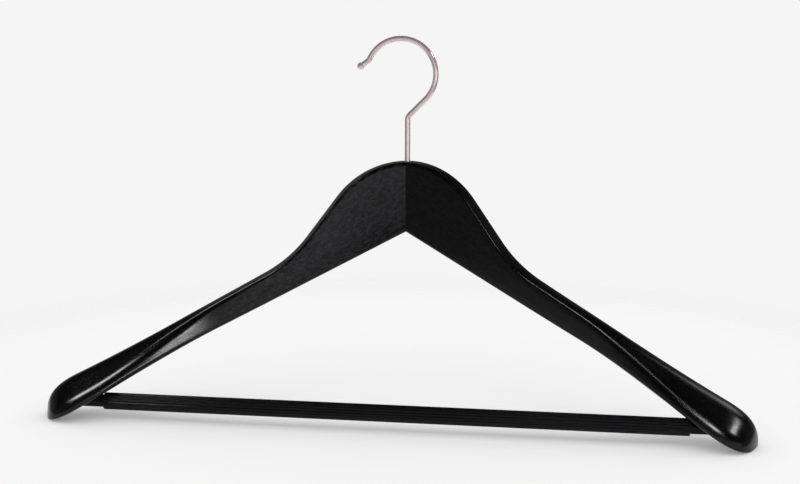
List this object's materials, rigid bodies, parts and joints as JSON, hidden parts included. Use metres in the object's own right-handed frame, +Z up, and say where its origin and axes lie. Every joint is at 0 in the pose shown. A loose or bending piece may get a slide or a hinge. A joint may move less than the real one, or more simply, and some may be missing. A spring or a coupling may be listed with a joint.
{
  "type": "clothes hanger",
  "caption": "Wooden suit hanger with broad contoured shoulders, a swivelling wire hook and a trouser bar in a ribbed sleeve.",
  "frame": {"origin": "on the hook's swivel axis, level with the inside of the hook's arch, where the rail carries it", "axes": "+Z up along the hook's stem, +X along the hanger's width, front towards -Y (the arms sweep forwards)"},
  "size_m": [0.4472, 0.1026, 0.2415],
  "materials": {
    "lacquered_wood": "satin black lacquer over fine grain",
    "bar_wood": "black stained dowel",
    "bare_wood": "plain beech dowel",
    "hook_wire": "bright nickel plated steel wire",
    "bushing_brass": "turned",
    "sleeve_plastic": "ribbed soft PVC",
    "brad_steel": "plain wire brad"
  },
  "bodies": {
    "hook": {"hook": "hook_wire"},
    "hanger": {"arm_left": "lacquered_wood", "arm_right": "lacquered_wood", "neck_dowel_upper": "bare_wood", "neck_dowel_lower": "bare_wood", "hook_bushing": "bushing_brass", "trouser_bar": "bar_wood", "brad_left": "brad_steel", "brad_right": "brad_steel"},
    "sleeve": {"bar_sleeve": "sleeve_plastic"}
  },
  "joints": [
    {"name": "hook_swivel", "type": "hinge", "parent": "hook", "child": "hanger", "pos_m": [0, 0, -0.09], "axis": [0, 0, 1], "continuous": true},
    {"name": "sleeve_spin", "type": "hinge", "parent": "hanger", "child": "sleeve", "pos_m": [0, -0.07783, -0.227], "axis": [1, 0, 0], "continuous": true}
  ]
}
